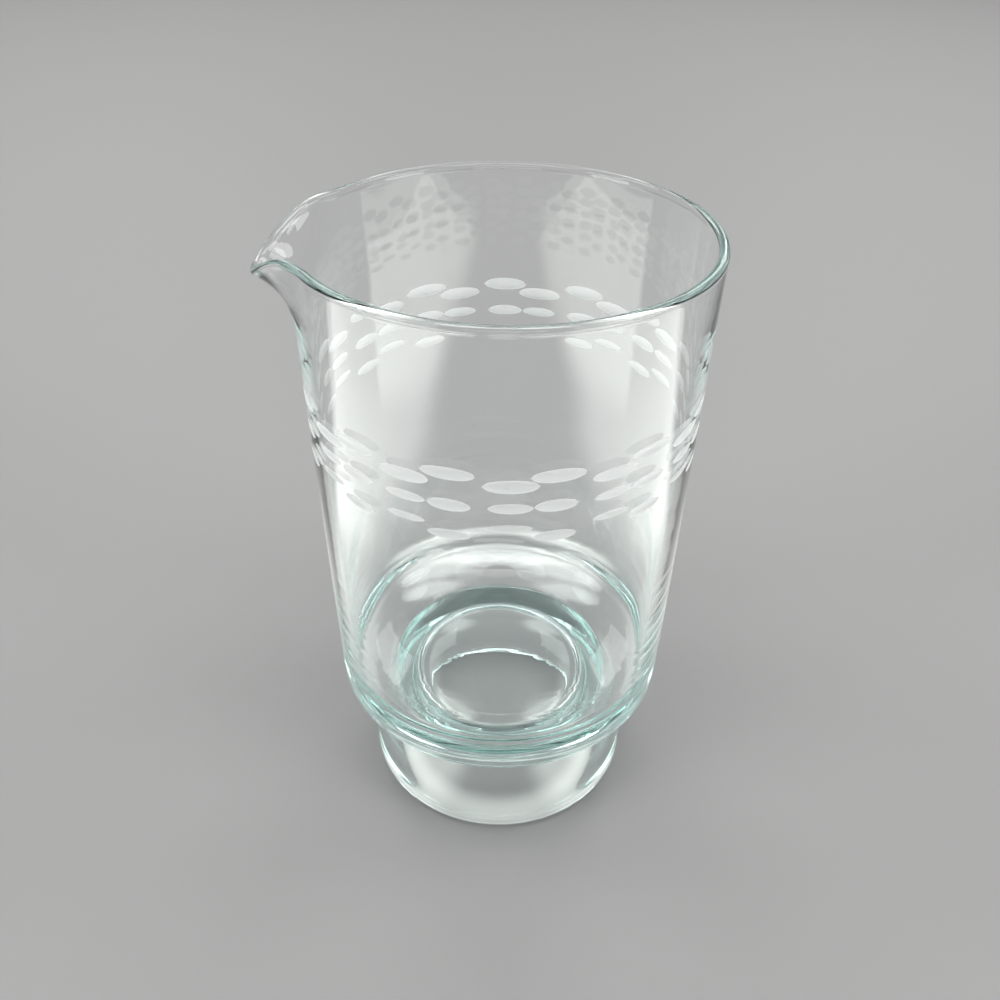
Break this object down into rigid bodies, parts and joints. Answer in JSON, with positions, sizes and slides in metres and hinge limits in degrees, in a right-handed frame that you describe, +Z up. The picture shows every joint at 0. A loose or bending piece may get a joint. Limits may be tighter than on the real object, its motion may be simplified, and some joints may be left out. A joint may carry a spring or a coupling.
{
  "type": "cocktail pitcher",
  "caption": "Footed clear glass cocktail pitcher with a tapered bowl, pulled pouring lip, cut oval bands and a hollow foot.",
  "frame": {"origin": "centre of the ring that the foot stands on, in the plane of the table", "axes": "+Z up along the bowl's axis, -X towards the pouring lip"},
  "size_m": [0.122, 0.112, 0.19],
  "materials": {
    "bowl_glass": "clear blown soda-lime glass with a faint sea-green tint in its edges, gloss, with satin grey cut ovals",
    "foot_glass": "clear thick soda-lime glass with a faint sea-green tint in its edges, gloss"
  },
  "bodies": {
    "root": {"bowl": "bowl_glass", "foot": "foot_glass"}
  },
  "joints": []
}
